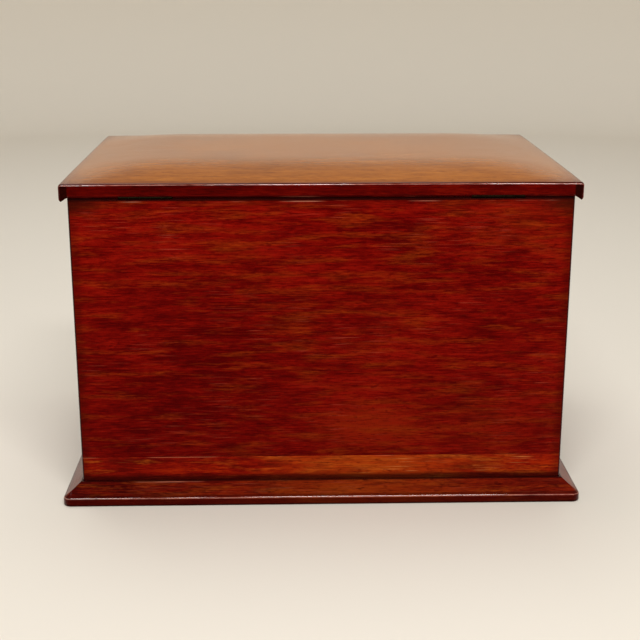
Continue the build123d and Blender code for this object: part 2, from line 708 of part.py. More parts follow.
def partition_top(middle_y):
    """Height of a partition that stands at this depth."""
    return RACK_BACK_HEIGHT - slope * (middle_y - shoulder_y) - PARTITION_BELOW


for side, direction in (("left", -1), ("right", 1)):
    outer_x = direction * INNER_HALF_WIDTH
    with BuildPart() as cheek:
        with BuildSketch(Plane.YZ.offset(outer_x)):
            Polygon(
                (-INNER_HALF_DEPTH, FLOOR_Z),
                (RACK_FRONT_Y, FLOOR_Z),
                (RACK_FRONT_Y, RACK_FRONT_HEIGHT),
                (shoulder_y, RACK_BACK_HEIGHT),
                (-INNER_HALF_DEPTH, RACK_BACK_HEIGHT),
                align=None,
            )
        extrude(amount=-direction * CHEEK)
        inner_face = faces().filter_by(Axis.X).sort_by(Axis.X)[0 if direction > 0 else -1]
        low = RACK_FRONT_HEIGHT - RACK_ROUNDING
        top_edges = inner_face.edges().filter_by_position(Axis.Z, low, ROOM_ABOVE)
        fillet(top_edges, RACK_ROUNDING)
        for middle_y in partition_middles:
            with BuildSketch(Plane.XY.offset(FLOOR_Z)):
                with Locations((outer_x - direction * (CHEEK - GROOVE / 2), middle_y)):
                    Rectangle(GROOVE, PARTITION)
            extrude(amount=partition_top(middle_y) - FLOOR_Z, mode=Mode.SUBTRACT)
    save(cheek.part, f"rack_cheek_{side}")

partition_half = INNER_HALF_WIDTH - CHEEK + GROOVE
scoop_radius = (SCOOP_WIDTH**2 / 4 + SCOOP_DEPTH**2) / (2 * SCOOP_DEPTH)

for number, middle_y in enumerate(partition_middles, start=1):
    top = partition_top(middle_y)
    with BuildPart() as partition:
        with BuildSketch(Plane(origin=(0, middle_y, 0), x_dir=(1, 0, 0), z_dir=(0, -1, 0))):
            with Locations((0, FLOOR_Z)):
                Rectangle(2 * partition_half, top - FLOOR_Z, align=(Align.CENTER, Align.MIN))
            with Locations((0, top + scoop_radius - SCOOP_DEPTH)):
                Circle(scoop_radius, mode=Mode.SUBTRACT)
            scoop_ends = vertices().filter_by_position(Axis.X, -SCOOP_WIDTH, SCOOP_WIDTH)
            fillet(scoop_ends, SCOOP_FILLET)
        extrude(amount=PARTITION / 2, both=True)
        upper = edges().filter_by_position(Axis.Z, top - 2 * SCOOP_DEPTH, ROOM_ABOVE)
        lengthwise = upper.filter_by(Axis.Y, reverse=True).filter_by(Axis.Z, reverse=True)
        fillet(lengthwise, RACK_ROUNDING)
    save(partition.part, f"rack_partition_{number}")
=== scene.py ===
from math import cos, pi, radians, sin
from types import SimpleNamespace

import bpy
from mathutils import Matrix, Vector


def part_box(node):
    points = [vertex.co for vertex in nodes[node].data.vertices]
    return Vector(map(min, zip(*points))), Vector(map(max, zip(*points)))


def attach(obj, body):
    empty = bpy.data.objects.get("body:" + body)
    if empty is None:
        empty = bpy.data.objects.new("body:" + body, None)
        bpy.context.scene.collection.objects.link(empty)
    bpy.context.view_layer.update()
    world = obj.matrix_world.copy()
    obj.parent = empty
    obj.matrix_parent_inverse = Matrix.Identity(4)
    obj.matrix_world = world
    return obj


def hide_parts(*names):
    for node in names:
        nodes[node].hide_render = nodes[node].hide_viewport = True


# A mahogany stationery box: a mitred carcase on a bevelled plinth, a cushion-topped lid on two hinges let
# into the back edge, a box lock in the front and a stepped paper rack inside. Metres, +Z up; -Y is the
# back, where the lid turns, and +Y is the front, with the keyhole.

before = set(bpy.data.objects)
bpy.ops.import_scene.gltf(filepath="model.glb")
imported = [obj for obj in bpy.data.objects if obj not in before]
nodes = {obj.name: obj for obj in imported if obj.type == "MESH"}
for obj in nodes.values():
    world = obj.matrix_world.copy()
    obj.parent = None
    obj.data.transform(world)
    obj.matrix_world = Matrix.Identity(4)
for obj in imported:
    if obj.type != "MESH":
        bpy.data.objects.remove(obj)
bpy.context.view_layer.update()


# Carcase --------------------------------------------------------------------------------------------------
# Four boards of solid mahogany, 9.5 mm thick, mitred and glued at the corners. The outside is grain-filled,
# stained red and French polished; the inside only has a thin coat of shellac.

MM = 0.001
BEYOND = 1                            # a metre, which is further than anything on the box reaches
HALF_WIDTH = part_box("lid_panel")[1].x
HALF_DEPTH = -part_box("back_board")[0].y
WALL = 9.5 * MM
WALL_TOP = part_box("back_board")[1].z
PLINTH_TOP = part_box("plinth_back")[1].z
BEVEL_WIDTH = 2.9 * MM                # of the bevels that meet at the back when the lid stands open
BEVEL_FOOT = WALL_TOP - 3.1 * MM
ALONG_X = (0, 0, 0)                   # turns that lay a board's grain along each axis of the box
ALONG_Y = (0, 0, pi / 2)


def linear(colour):
    """An sRGB hex colour as the linear values that a shader takes."""
    channels = [int(colour[i:i + 2], 16) / 255 for i in (1, 3, 5)]
    return (*(c / 12.92 if c <= 0.04045 else ((c + 0.055) / 1.055) ** 2.4 for c in channels), 1)


def add_node(tree, kind, inputs=None, **settings):
    """Adds a node. Settings are its properties, and inputs are values or the sockets that feed it."""
    made = tree.nodes.new(kind)
    for name, value in settings.items():
        setattr(made, name, value)
    for key, value in (inputs or {}).items():
        if isinstance(value, bpy.types.NodeSocket):
            tree.links.new(value, made.inputs[key])
        else:
            made.inputs[key].default_value = value
    return made


def combine(tree, operation, first, second=0.0):
    """Two values, or a value and a number, put together by arithmetic."""
    return add_node(tree, "ShaderNodeMath", {0: first, 1: second}, operation=operation).outputs[0]


def overlap(tree, first, *others):
    """Where all of these masks hold."""
    for other in others:
        first = combine(tree, "MULTIPLY", first, other)
    return first


def blend(tree, share, first, second):
    """Two values mixed: all of the first at a share of 0, all of the second at 1."""
    return add_node(tree, "ShaderNodeMix", {0: share, 2: first, 3: second}, data_type="FLOAT").outputs[0]


def blend_colours(tree, share, first, second):
    """Two colours mixed in the same way."""
    return add_node(tree, "ShaderNodeMix", {0: share, 6: first, 7: second}, data_type="RGBA").outputs[2]


def grain(tree, vector, length, width, detail=2.0, low=0.3, high=0.7, shift=0.0, distortion=0.0):
    """Noise from 0 to 1 whose marks are this long along X and this wide across it, in millimetres. What
    lies under low is 0 and what lies over high is 1; each pattern has its own shift."""
    scaled = add_node(tree, "ShaderNodeMapping", {
        "Vector": vector, "Location": (shift, shift, shift),
        "Scale": (1000 / length, 1000 / width, 1000 / width)})
    value = add_node(tree, "ShaderNodeTexNoise", {
        "Vector": scaled.outputs[0], "Scale": 1, "Detail": detail, "Distortion": distortion})
    spread = add_node(tree, "ShaderNodeMapRange", {
        "Value": value.outputs[0], "From Min": low, "From Max": high}, interpolation_type="SMOOTHSTEP")
    return spread.outputs[0]


def band(tree, value, low, high, soft):
    """1 where a value lies between low and high, falling to 0 over the soft width beyond them."""
    distance = combine(tree, "ABSOLUTE", combine(tree, "SUBTRACT", value, (low + high) / 2))
    half = (high - low) / 2
    mask = add_node(tree, "ShaderNodeMapRange", {
        "Value": distance, "From Min": half, "From Max": half + soft, "To Min": 1, "To Max": 0},
        interpolation_type="SMOOTHSTEP")
    return mask.outputs[0]


DARKEST_AT = 0.2                      # on a scale from 0 to 1, which the figure seldom fills
BRIGHTEST_AT = 0.8


def tone_ramp(tree, value, tones):
    """Even steps of tone, from where the figure is darkest to where it is brightest."""
    ramp = add_node(tree, "ShaderNodeValToRGB", {"Fac": value})
    stops = ramp.color_ramp.elements
    stops[0].position = DARKEST_AT
    stops[1].position = BRIGHTEST_AT
    for step in range(1, len(tones) - 1):
        stops.new(DARKEST_AT + (BRIGHTEST_AT - DARKEST_AT) * step / (len(tones) - 1))
    for stop, tone in zip(stops, tones):
        stop.color = linear(tone)
    return ramp.outputs["Color"]


def mahogany_figure():
    """The figure of mahogany as a node group: grain along X, in metres, for any board turned to it.
    Real pores are 0.2 mm wide, and the finest streaks too. Here they are drawn 0.7 to 0.9 mm wide, as coarse
    as they need to be to show."""
    tree = bpy.data.node_groups.new("mahogany figure", "ShaderNodeTree")
    tree.interface.new_socket("Vector", in_out="INPUT", socket_type="NodeSocketVector")
    for name in ("Figure", "Streak", "Golden", "Pale streak", "Pores", "Spots"):
        tree.interface.new_socket(name, in_out="OUTPUT", socket_type="NodeSocketFloat")
    place = add_node(tree, "NodeGroupInput").outputs["Vector"]

    broad_cloud = grain(tree, place, 110, 60, detail=1, distortion=0.4)
    patch = grain(tree, place, 24, 5, detail=4, low=0.28, high=0.72, shift=5, distortion=0.2)
    cloud = blend(tree, 0.6, broad_cloud, patch)
    long_streak = grain(tree, place, 24, 0.9, detail=3, shift=9)
    short_streak = grain(tree, place, 6, 0.7, detail=4, shift=11)
    streak = blend(tree, 0.55, long_streak, short_streak)
    golden = grain(tree, place, 44, 6, detail=5, low=0.42, high=0.78, shift=25, distortion=0.2)
    hairlines = grain(tree, place, 32, 0.8, detail=1, low=0.6, high=0.74, shift=13)
    hairline_patch = grain(tree, place, 60, 30, detail=1, low=0.42, high=0.6, shift=15)
    add_node(tree, "NodeGroupOutput", {
        "Figure": blend(tree, 0.5, cloud, streak),
        "Streak": streak,
        "Golden": overlap(tree, golden, streak),
        "Pale streak": overlap(tree, hairlines, hairline_patch),
        "Pores": grain(tree, place, 7, 0.7, low=0.58, high=0.68, shift=17),
        "Spots": grain(tree, place, 9, 4, low=0.6, high=0.74, shift=21),
    })
    return tree


figure = mahogany_figure()


def lay(board, tone, mask, amount=1.0):
    """Lays a tone over a board's colour, as far as a mask and an amount say."""
    other = tone if isinstance(tone, bpy.types.NodeSocket) else linear(tone)
    share = combine(board.tree, "MULTIPLY", mask, amount)
    board.colour = blend_colours(board.tree, share, board.colour, other)


def roughen(board, mask, amount):
    """Makes a board's polish duller where a mask says."""
    extra = combine(board.tree, "MULTIPLY", mask, amount)
    board.roughness = combine(board.tree, "ADD", board.roughness, extra)


def figure_change(board, x, z, length, height, change):
    """Makes the figure more golden, or redder, around one place of a long face. Sizes in millimetres."""
    moved = add_node(board.tree, "ShaderNodeMapping", {
        "Vector": board.place, "Location": (-x / length, 0, -z / height),
        "Scale": (1000 / length, 0, 1000 / height)})
    distance = add_node(board.tree, "ShaderNodeVectorMath", {0: moved.outputs[0]}, operation="LENGTH")
    lift = add_node(board.tree, "ShaderNodeMapRange", {
        "Value": distance.outputs["Value"], "To Min": change, "To Max": 0}, interpolation_type="SMOOTHSTEP")
    board.figure = combine(board.tree, "ADD", board.figure, lift.outputs[0])


# French polish is a thin clear film of shellac, so the wood shows deep and wet, and lamps show as soft
# patches. The stain in it tints what it mirrors, and a thicker film pools on the rounded edges.
STAINED_POLISH = "#a02814"
ROUGHNESS_SPREAD = (-0.03, 0.05)      # from the board's own, where the figure is dark and where it is bright
THICK_POLISH_ROUGHNESS = 0.08
GRAIN_RELIEF = 0.05 * MM
GOLDEN_AMOUNT = 0.85
DARK_MARK_AMOUNT = 0.6                # of the spots and the pores


def polished_mahogany(name, turn, shift, tones, pale, wear=None, roughness=0.18, pale_amount=0.5,
                      changes=(), polish=STAINED_POLISH):
    """Mahogany under polish, cut from the figure by a turn and a shift. Tones run from the darkest to the
    brightest, and the last of them clouds the rest."""
    material = bpy.data.materials.new(name.replace("_", " "))
    material.use_nodes = True
    tree = material.node_tree
    shader = tree.nodes["Principled BSDF"]
    place = add_node(tree, "ShaderNodeTexCoord").outputs
    turned = add_node(tree, "ShaderNodeMapping", {
        "Vector": place["Object"], "Location": shift, "Rotation": turn})
    marks = add_node(tree, "ShaderNodeGroup", {"Vector": turned.outputs[0]}, node_tree=figure).outputs
    axes = add_node(tree, "ShaderNodeSeparateXYZ", {0: place["Object"]}).outputs
    board = SimpleNamespace(
        tree=tree, marks=marks, figure=marks["Figure"], place=place["Object"], y=axes["Y"], z=axes["Z"],
        across_x=combine(tree, "ABSOLUTE", axes["X"]), across_y=combine(tree, "ABSOLUTE", axes["Y"]),
        upward=add_node(tree, "ShaderNodeSeparateXYZ", {0: place["Normal"]}).outputs["Z"])
    for change in changes:
        figure_change(board, *change)
    board.colour = tone_ramp(tree, board.figure, tones[:-1])
    changed = combine(tree, "SUBTRACT", board.figure, marks["Figure"])
    lay(board, tones[-1], combine(tree, "ADD", marks["Golden"], changed), GOLDEN_AMOUNT)
    lay(board, pale, marks["Pale streak"], pale_amount)
    lay(board, tones[0], marks["Spots"], DARK_MARK_AMOUNT)
    lay(board, tones[0], marks["Pores"], DARK_MARK_AMOUNT)
    board.roughness = add_node(tree, "ShaderNodeMapRange", {
        "Value": marks["Figure"], "To Min": roughness + ROUGHNESS_SPREAD[0],
        "To Max": roughness + ROUGHNESS_SPREAD[1]}).outputs[0]
    if wear:
        wear(board)
    tree.links.new(board.colour, shader.inputs["Base Color"])
    tree.links.new(board.roughness, shader.inputs["Roughness"])
    shader.inputs["Specular Tint"].default_value = linear(polish)
    if hasattr(board, "stained_edge"):
        tint = blend_colours(tree, board.stained_edge, linear(polish), linear(STAINED_POLISH))
        tree.links.new(tint, shader.inputs["Specular Tint"])
    if hasattr(board, "thick_polish"):
        tree.links.new(board.thick_polish, shader.inputs["Coat Weight"])
        shader.inputs["Coat Roughness"].default_value = THICK_POLISH_ROUGHNESS
    bump = add_node(tree, "ShaderNodeBump", {
        "Strength": 0.3, "Distance": GRAIN_RELIEF, "Height": marks["Streak"]})
    tree.links.new(bump.outputs[0], shader.inputs["Normal"])
    return material


def finish_node(name, material):
    """Gives a piece of the frame its finish."""
    nodes[name].material_slots[0].material = material


def rubbed_and_highlit_stretches(board):
    """Where along an arris the polish is rubbed through and a painted highlight shows: stretches of a few
    centimetres.
    """
    return grain(board.tree, board.place, 55, 55, low=0.5, high=0.62, shift=61)


def near_corners(board):
    """1 close to the upright corners of the box, where painted shade gathers under the lid and nothing rubs.
    """
    reach, soft = 8 * MM, 30 * MM
    across_width = band(board.tree, board.across_x, HALF_WIDTH - reach, BEYOND, soft)
    across_depth = band(board.tree, board.across_y, HALF_DEPTH - reach, BEYOND, soft)
    return overlap(board.tree, across_width, across_depth)


# Shellac alone, thin and half matt, leaves the inner faces plain brown.
INNER = ("#622e17", "#70381c", "#804422", "#8c4d28")
INNER_DULLNESS = 0.26
# Painted shade for the crease between the wall and the plinth.
CREVICE_SHADE = "#180202"
FOOT_SHADE_AMOUNT = 0.34                    # how much painted shade darkens the foot
ARRIS_SHADE_BANDS = (                       # painted shade along the upright arrises: tone, reach, soft width in mm, amount
    ("#200203", 1.1, 0.8, 0.85),
    ("#240302", 2, 8, 0.4),
)


def board_wear(board):
    """Painted shade on the upright arrises, towards the foot, above the plinth, under the lid and in the
    bevel; a rubbed edge that is partly a painted highlight; plain inner faces.
    """
    tree = board.tree
    from_side = combine(tree, "SUBTRACT", HALF_WIDTH, board.across_x)
    from_end = combine(tree, "SUBTRACT", HALF_DEPTH, board.across_y)
    from_arris = combine(tree, "ADD", from_side, from_end)
    # Painted shade: the colour darkens towards the foot.
    aged = add_node(tree, "ShaderNodeMapRange", {
        "Value": board.z, "From Min": PLINTH_TOP, "From Max": WALL_TOP,
        "To Min": FOOT_SHADE_AMOUNT, "To Max": 0}).outputs[0]
    lay(board, "#340102", aged)
    for tone, reach, soft, amount in ARRIS_SHADE_BANDS:
        lay(board, tone, band(tree, from_arris, -1 * MM, reach * MM, soft * MM), amount)
    # Painted shade in the crease above the plinth.
    lay(board, CREVICE_SHADE, band(tree, board.z, PLINTH_TOP, PLINTH_TOP + 1.8 * MM, 4.5 * MM), 0.85)

    # Under the lid: a thin painted shadow all along, and more painted shade near the corners.
    corner = near_corners(board)
    lay(board, "#220402", band(tree, board.z, BEVEL_FOOT, BEYOND, 7 * MM), 0.3)
    top = band(tree, board.z, BEVEL_FOOT - 2 * MM, BEYOND, 12 * MM)
    lay(board, "#200a04", overlap(tree, corner, top), 0.7)

    # The bevel at the back is painted black as shade in the groove, and its lower edge is rubbed pale in
    # stretches, partly as a painted highlight.
    at_back = band(tree, board.y, -BEYOND, -HALF_DEPTH + BEVEL_WIDTH, 0.2 * MM)
    bevel_shade = band(tree, board.z, BEVEL_FOOT + 1.2 * MM, BEYOND, 0.4 * MM)
    lay(board, "#100202", overlap(tree, bevel_shade, at_back), 0.97)
    # A rubbed pale line, partly a painted highlight.
    rubbed_highlit_edge = band(tree, board.z, BEVEL_FOOT + 0.2 * MM, BEVEL_FOOT + 0.6 * MM, 0.3 * MM)
    away = combine(tree, "SUBTRACT", 1.0, corner)
    lay(board, "#b88068", overlap(tree, rubbed_highlit_edge, at_back, away, rubbed_and_highlit_stretches(board)), 0.5)

    inside = band(tree, combine(tree, "MINIMUM", from_side, from_end), WALL, BEYOND, 0.3 * MM)
    lay(board, tone_ramp(tree, board.figure, INNER), inside)
    roughen(board, inside, INNER_DULLNESS)


RED = ("#440002", "#690603", "#861007", "#8c360a")
RED_STREAK = "#a0402e"
BACK_CHANGES = (                      # x, z, half length, half height, change: seen on the back
    (-130, 215, 110, 60, -0.03),
    (150, 215, 80, 60, 0.06),
    (20, 215, 70, 50, -0.06),
    (-130, 140, 90, 70, -0.17),
    (-150, 60, 90, 50, -0.17),
    (35, 61, 60, 26, 0.26),
    (-70, 90, 90, 60, -0.10),
    (135, 150, 90, 80, -0.14),
    (130, 60, 60, 40, 0.08),
)
for name, turn, shift, changes in (
    ("back_board", ALONG_X, (0, 0, 0), BACK_CHANGES),
    ("front_board", ALONG_X, (3, 1, 2), ()),
    ("left_side", ALONG_Y, (5, 2, 1), ()),
    ("right_side", ALONG_Y, (6, 2, 1), ()),
):
    finish_node(name, polished_mahogany(
        f"French polished mahogany, {name}", turn, shift, RED, RED_STREAK, board_wear, changes=changes))


# Lower strip of the back ----------------------------------------------------------------------------------
# The back was too narrow in one board, so a strip of paler mahogany is glued under it and polished with
# it. The glue line has opened a little, and its edges are rubbed pale, partly as a painted highlight.

STRIP_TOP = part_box("back_lower_strip")[1].z
STRIP = ("#5a0804", "#881206", "#b02c08", "#cc6a1e")
STRIP_STREAK = "#d88848"
STRIP_CHANGES = (                     # as on the back board
    (-150, 26, 120, 60, -0.16),
    (40, 26, 110, 60, 0.26),
)


def strip_wear(board):
    """The wear and painted shade of the boards, and the rubbed edge at the joint, partly a painted highlight.
    """
    board_wear(board)
    # A rubbed pale line along the joint, partly a painted highlight.
    rubbed_highlit_edge = band(board.tree, board.z, STRIP_TOP - 0.3 * MM, STRIP_TOP, 0.3 * MM)
    lay(board, "#b8684a", overlap(board.tree, rubbed_highlit_edge, rubbed_and_highlit_stretches(board)), 0.5)


finish_node("back_lower_strip", polished_mahogany(
    "French polished mahogany, back_lower_strip", ALONG_X, (2, 0, 0), STRIP, STRIP_STREAK, strip_wear,
    pale_amount=0.7, changes=STRIP_CHANGES))


# Plinth ---------------------------------------------------------------------------------------------------
# Four bevelled strips of mahogany, mitred round the foot of the box and glued on. The polish has pooled on
# the rounded nose, where it gives a bright line, and is dull where the box has been lifted.

NOSE_LOW = 5.1 * MM
NOSE_HIGH = 7.2 * MM
NOSE_DULLNESS = 0.14
PLINTH = ("#340302", "#5c0e04", "#761e06", "#8c3e0e")
PLINTH_STREAK = "#8c4028"
PLINTH_CHANGES = (                    # as on the back board
    (-160, 8, 120, 60, -0.12),
    (30, 8, 120, 60, 0.22),
    (170, 8, 70, 60, -0.14),
)
PLINTH_SHADE_BANDS = (                      # painted shade: tone, lowest, highest, soft width, amount
    ("#300402", 0, NOSE_LOW + 0.3 * MM, 0.5 * MM, 0.8),             # painted shade on the upright face of the nose
    ("#120201", -1 * MM, 0.8 * MM, 1.2 * MM, 0.9),                  # painted shadow at its foot
    ("#2c0302", NOSE_HIGH, NOSE_HIGH + 0.6 * MM, 1.1 * MM, 0.6),    # painted shade at the foot of the slope, above the nose highlight
    (CREVICE_SHADE, PLINTH_TOP - 0.3 * MM, BEYOND, 0.7 * MM, 0.85),         # painted shade beside the wall
)


def plinth_wear(board):
    """Clear polish on the rounded nose, painted shade around it and beside the wall, and rubbed lines on the
    nose and the ledge that are partly painted highlights.
    """
    tree = board.tree
    for tone, lowest, highest, soft, amount in PLINTH_SHADE_BANDS:
        lay(board, tone, band(tree, board.z, lowest, highest, soft), amount)
    # Rubbed pale lines along the ledge and on the nose, partly painted highlights.
    rubbed_highlit_ledge = band(tree, board.z, PLINTH_TOP - 0.9 * MM, PLINTH_TOP - 0.7 * MM, 0.3 * MM)
    lay(board, "#b0705a", overlap(tree, rubbed_highlit_ledge, rubbed_and_highlit_stretches(board)), 0.5)
    rubbed_highlight = band(tree, board.z, NOSE_LOW + 1.1 * MM, NOSE_LOW + 1.4 * MM, 0.3 * MM)
    lay(board, "#e0b0a0", overlap(tree, rubbed_highlight, board.marks["Streak"]), 0.5)
    nose = band(tree, board.z, NOSE_LOW + 0.9 * MM, NOSE_HIGH - 0.3 * MM, 0.2 * MM)
    sound = grain(tree, board.place, 110, 110, low=0.4, high=0.56, shift=65)
    board.thick_polish = overlap(tree, nose, sound)
    roughen(board, combine(tree, "SUBTRACT", 1.0, sound), NOSE_DULLNESS)


for index, (name, turn, changes) in enumerate((
    ("plinth_back", ALONG_X, PLINTH_CHANGES),
    ("plinth_front", ALONG_X, ()),
    ("plinth_left", ALONG_Y, ()),
    ("plinth_right", ALONG_Y, ()),
)):
    finish_node(name, polished_mahogany(
        f"French polished mahogany, {name}", turn, (index, 4, 0), PLINTH, PLINTH_STREAK, plinth_wear,
        changes=changes))


# Bottom board and its screws ------------------------------------------------------------------------------
# A pine board let into the walls from below, left bare, and brown with age. Slotted iron wood screws go up
# through its edges into the walls; their heads are dark, and their slots lie every way.

PINE = ("#8a5a34", "#a87848", "#bc8c5a", "#c89a6a")
PINE_STAIN = "#5a3c20"
PINE_FLECK = "#4a2e18"
PINE_RELIEF = 0.1 * MM


def aged_pine(name):
    """Bare pine, quite matt: rings 7 mm apart and fibres along X, with brown stains. Real fibres are far too
    fine to show, and are drawn 0.8 mm wide."""
    material = bpy.data.materials.new(name)
    material.use_nodes = True
    tree = material.node_tree
    shader = tree.nodes["Principled BSDF"]
    place = add_node(tree, "ShaderNodeTexCoord").outputs["Object"]
    rings = grain(tree, place, 240, 7, low=0.36, high=0.62, shift=31, distortion=0.5)
    fibre = grain(tree, place, 26, 0.8, shift=33)
    wood = blend(tree, 0.3, rings, fibre)
    board = SimpleNamespace(tree=tree, colour=tone_ramp(tree, wood, PINE))
    lay(board, PINE_STAIN, grain(tree, place, 70, 40, detail=3, low=0.52, high=0.72, shift=37), 0.6)
    lay(board, PINE_FLECK, grain(tree, place, 9, 0.7, detail=1, low=0.62, shift=41), 0.6)
    tree.links.new(board.colour, shader.inputs["Base Color"])
    shader.inputs["Roughness"].default_value = 0.75
    bump = add_node(tree, "ShaderNodeBump", {"Strength": 0.5, "Distance": PINE_RELIEF, "Height": wood})
    tree.links.new(bump.outputs[0], shader.inputs["Normal"])
    return material


finish_node("bottom_board", aged_pine("bare aged pine"))

TOOL_LINE_RELIEF = 0.03 * MM
STAINED_ROUGHNESS = 0.2               # what a full stain adds to the roughness of the metal


def aged_metal(name, bright, stain, roughness, stained, line, wear=None):
    """Metal with fine parallel tool lines, this far apart in millimetres, and a dull stain over a share
    of it. The lines draw out the highlights, and the stain breaks them up."""
    material = bpy.data.materials.new(name)
    material.use_nodes = True
    tree = material.node_tree
    shader = tree.nodes["Principled BSDF"]
    place = add_node(tree, "ShaderNodeTexCoord").outputs
    lines = grain(tree, place["Object"], 14, line, shift=51)
    spread = 0.3 * stained
    dull = grain(tree, place["Object"], 7, 5, detail=3, low=0.62 - spread, high=0.8 - spread, shift=53)
    metal = SimpleNamespace(tree=tree, place=place, colour=linear(bright))
    lay(metal, stain, lines, 0.25)
    lay(metal, stain, dull, 0.85)
    if wear:
        wear(metal)
    tree.links.new(metal.colour, shader.inputs["Base Color"])
    shader.inputs["Metallic"].default_value = 1
    rough = add_node(tree, "ShaderNodeMapRange", {
        "Value": dull, "To Min": roughness, "To Max": roughness + STAINED_ROUGHNESS}).outputs[0]
    tree.links.new(rough, shader.inputs["Roughness"])
    bump = add_node(tree, "ShaderNodeBump", {"Strength": 0.3, "Distance": TOOL_LINE_RELIEF, "Height": lines})
    tree.links.new(bump.outputs[0], shader.inputs["Normal"])
    return material


SCREW_INPUTS = (
    ("Places", "Geometry"), ("Facing", "Vector"), ("Head radius", "Float"), ("Shank radius", "Float"),
    ("Length", "Float"), ("Slot", "Float"), ("Seed", "Int"), ("Metal", "Material"),
)
HEAD_SIDES = 32
SHANK_SIDES = 24
SLOT_WIDTH = 0.5 * MM
SLOT_DEPTH = 2.0                      # height of the cutter that leaves the slot, in slot widths
SLOT_REACH = 2.2                      # length of the cutter, in head radii
PLAIN_SHARE = 0.25                    # of the length that has no thread
PLAIN_MIDDLE = 0.49                   # of the plain part, whose middle lies high so that it overlaps the head
THREAD_START = 0.95                   # of the plain part, so that the thread overlaps it
CORE = 0.75                           # radius under the thread, in shank radii
PITCH = 0.9                           # of the thread, in shank radii
RIDGE = 0.2                           # radius of the thread's four-sided ridge, in shank radii
TURN_STEPS = 16                       # of the spiral, in each of its turns


def slotted_screw_tree():
    """Geometry nodes that put a countersunk wood screw on each point, its slot turned at random."""
    tree = bpy.data.node_groups.new("slotted wood screws", "GeometryNodeTree")
    for name, kind in SCREW_INPUTS:
        tree.interface.new_socket(name, in_out="INPUT", socket_type=f"NodeSocket{kind}")
    tree.interface.new_socket("Screws", in_out="OUTPUT", socket_type="NodeSocketGeometry")
    given = add_node(tree, "NodeGroupInput").outputs
    head_radius, shank_radius, length = given["Head radius"], given["Shank radius"], given["Length"]

    def lowered(mesh, drop):
        """A mesh moved down by this much."""
        down = combine(tree, "MULTIPLY", drop, -1.0)
        offset = add_node(tree, "ShaderNodeCombineXYZ", {"Z": down}).outputs[0]
        return add_node(tree, "GeometryNodeTransform", {"Geometry": mesh, "Translation": offset}).outputs[0]

    head_depth = combine(tree, "SUBTRACT", head_radius, shank_radius)
    cone = add_node(tree, "GeometryNodeMeshCone", {
        "Vertices": HEAD_SIDES, "Radius Top": head_radius, "Radius Bottom": shank_radius,
        "Depth": head_depth})
    slot_size = add_node(tree, "ShaderNodeCombineXYZ", {
        "X": combine(tree, "MULTIPLY", head_radius, SLOT_REACH), "Y": given["Slot"],
        "Z": combine(tree, "MULTIPLY", given["Slot"], SLOT_DEPTH)})
    cutter = add_node(tree, "GeometryNodeMeshCube", {"Size": slot_size.outputs[0]}).outputs["Mesh"]
    head = add_node(tree, "GeometryNodeMeshBoolean", {
        "Mesh 1": lowered(cone.outputs["Mesh"], head_depth), "Mesh 2": cutter},
        operation="DIFFERENCE", solver="EXACT")

    plain_length = combine(tree, "MULTIPLY", length, PLAIN_SHARE)
    plain = add_node(tree, "GeometryNodeMeshCylinder", {
        "Vertices": SHANK_SIDES, "Radius": shank_radius, "Depth": plain_length}).outputs["Mesh"]
    plain_middle = combine(tree, "ADD", head_depth, combine(tree, "MULTIPLY", plain_length, PLAIN_MIDDLE))
    thread_start = combine(tree, "ADD", head_depth, combine(tree, "MULTIPLY", plain_length, THREAD_START))
    thread_length = combine(tree, "SUBTRACT", length, thread_start)
    core_radius = combine(tree, "MULTIPLY", shank_radius, CORE)
    core = add_node(tree, "GeometryNodeMeshCone", {
        "Vertices": SHANK_SIDES, "Radius Top": core_radius, "Radius Bottom": 0,
        "Depth": thread_length}).outputs["Mesh"]
    turns = combine(tree, "DIVIDE", thread_length, combine(tree, "MULTIPLY", shank_radius, PITCH))
    spiral = add_node(tree, "GeometryNodeCurveSpiral", {
        "Resolution": TURN_STEPS, "Rotations": turns, "Start Radius": 0, "End Radius": core_radius,
        "Height": thread_length}).outputs["Curve"]
    ridge = add_node(tree, "GeometryNodeCurvePrimitiveCircle", {
        "Resolution": 4, "Radius": combine(tree, "MULTIPLY", shank_radius, RIDGE)},
        mode="RADIUS").outputs["Curve"]
    thread = add_node(tree, "GeometryNodeCurveToMesh", {
        "Curve": spiral, "Profile Curve": ridge, "Fill Caps": True})
    whole = add_node(tree, "GeometryNodeJoinGeometry")
    for mesh in (head.outputs["Mesh"], lowered(plain, plain_middle), lowered(core, length),
                 lowered(thread.outputs["Mesh"], length)):
        tree.links.new(mesh, whole.inputs[0])

    facing = add_node(tree, "FunctionNodeAlignRotationToVector", {"Vector": given["Facing"]}, axis="Z")
    placed = add_node(tree, "GeometryNodeInstanceOnPoints", {
        "Points": given["Places"], "Instance": whole.outputs[0], "Rotation": facing.outputs[0]})
    spin = add_node(tree, "FunctionNodeRandomValue", {2: 0.0, 3: pi, "Seed": given["Seed"]},
                    data_type="FLOAT")
    turn = add_node(tree, "ShaderNodeCombineXYZ", {"Z": spin.outputs[1]}).outputs[0]
    turned = add_node(tree, "GeometryNodeRotateInstances", {
        "Instances": placed.outputs[0], "Rotation": turn, "Local Space": True})
    real = add_node(tree, "GeometryNodeRealizeInstances", {0: turned.outputs[0]})
    metal = add_node(tree, "GeometryNodeSetMaterial", {
        "Geometry": real.outputs[0], "Material": given["Metal"]})
    add_node(tree, "NodeGroupOutput", {0: metal.outputs[0]})
    return tree


screw_nodes = slotted_screw_tree()


